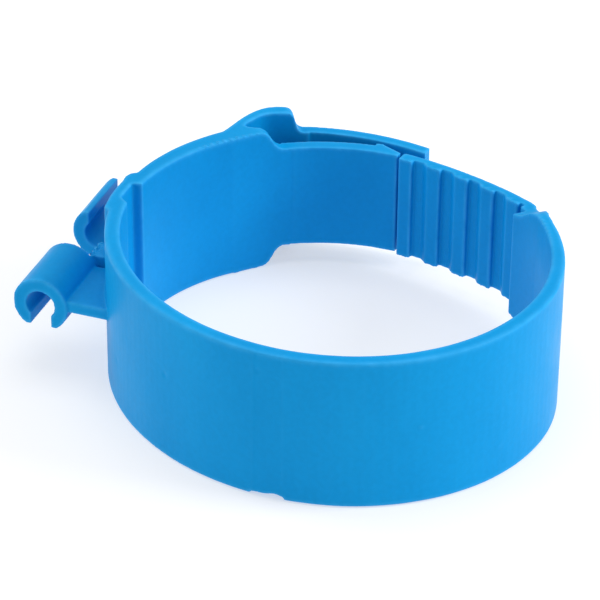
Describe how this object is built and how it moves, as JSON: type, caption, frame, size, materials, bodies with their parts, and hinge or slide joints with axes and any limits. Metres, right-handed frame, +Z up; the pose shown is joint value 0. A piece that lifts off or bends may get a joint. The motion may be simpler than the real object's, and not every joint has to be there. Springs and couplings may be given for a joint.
{
  "type": "livestock leg band",
  "caption": "Hinged oval plastic leg band with a toothed tongue, a channel with a sprung barbed pawl, and spring clips for a rod.",
  "frame": {"origin": "centre of the oval leg opening, on the plane that the ring stands on", "axes": "+Z up along the leg opening's axis, +X towards the shoulder where the tongue starts, +Y towards the latch channel"},
  "size_m": [0.1197, 0.1098, 0.0356],
  "materials": {
    "blue_plastic": "satin injection-moulded polypropylene, azure blue"
  },
  "bodies": {
    "front": {"front_band": "blue_plastic", "end_shoulder": "blue_plastic", "end_stop": "blue_plastic", "front_clip_web": "blue_plastic", "front_clip_cradle": "blue_plastic", "gate_tab": "blue_plastic"},
    "film": {"hinge_film": "blue_plastic"},
    "rear": {"rear_band": "blue_plastic", "channel_root": "blue_plastic", "rear_clip_web": "blue_plastic", "rear_clip_cradle": "blue_plastic"},
    "tongue": {"tongue_strap": "blue_plastic", "ratchet_tooth_1": "blue_plastic", "ratchet_tooth_2": "blue_plastic", "ratchet_tooth_3": "blue_plastic", "ratchet_tooth_4": "blue_plastic", "ratchet_tooth_5": "blue_plastic"},
    "pawl": {"pawl_arm": "blue_plastic", "pawl_barb": "blue_plastic"},
    "guide": {"guide_wall": "blue_plastic"},
    "front_jaw": {"front_clip_jaw": "blue_plastic"},
    "rear_jaw": {"rear_clip_jaw": "blue_plastic"}
  },
  "joints": [
    {"name": "band_swing", "type": "hinge", "parent": "film", "child": "rear", "pos_m": [-0.04634, 0.0224, 0.0178], "axis": [0, 0, 1], "range_deg": [0, 24], "stiffness_Nm_per_rad": 0.03},
    {"name": "film_fold", "type": "hinge", "parent": "front", "child": "film", "pos_m": [-0.04787, 0.01809, 0.0178], "axis": [0, 0, 1], "range_deg": [0, 24], "stiffness_Nm_per_rad": 0.03},
    {"name": "tongue_flex", "type": "hinge", "parent": "front", "child": "tongue", "pos_m": [0.04366, 0.02361, 0.0178], "axis": [0, 0, 1], "range_deg": [-3, 8], "stiffness_Nm_per_rad": 0.05},
    {"name": "pawl_flex", "type": "hinge", "parent": "rear", "child": "pawl", "pos_m": [-0.0093, 0.04969, 0.0178], "axis": [0, 0, -1], "range_deg": [0, 5], "stiffness_Nm_per_rad": 0.05},
    {"name": "guide_flex", "type": "hinge", "parent": "rear", "child": "guide", "pos_m": [-0.00563, 0.05745, 0.0178], "axis": [0, 0, 1], "range_deg": [0, 5], "stiffness_Nm_per_rad": 0.05},
    {"name": "front_jaw_flex", "type": "hinge", "parent": "front", "child": "front_jaw", "pos_m": [-0.06131, 0.00752, 0.0227], "axis": [0.342, 0.9397, 0], "range_deg": [0, 10], "stiffness_Nm_per_rad": 0.05},
    {"name": "rear_jaw_flex", "type": "hinge", "parent": "rear", "child": "rear_jaw", "pos_m": [-0.05022, 0.03797, 0.0129], "axis": [-0.342, -0.9397, 0], "range_deg": [0, 10], "stiffness_Nm_per_rad": 0.05}
  ],
  "couplings": [
    {"joint": "film_fold", "follows": "band_swing", "ratio": 1}
  ]
}
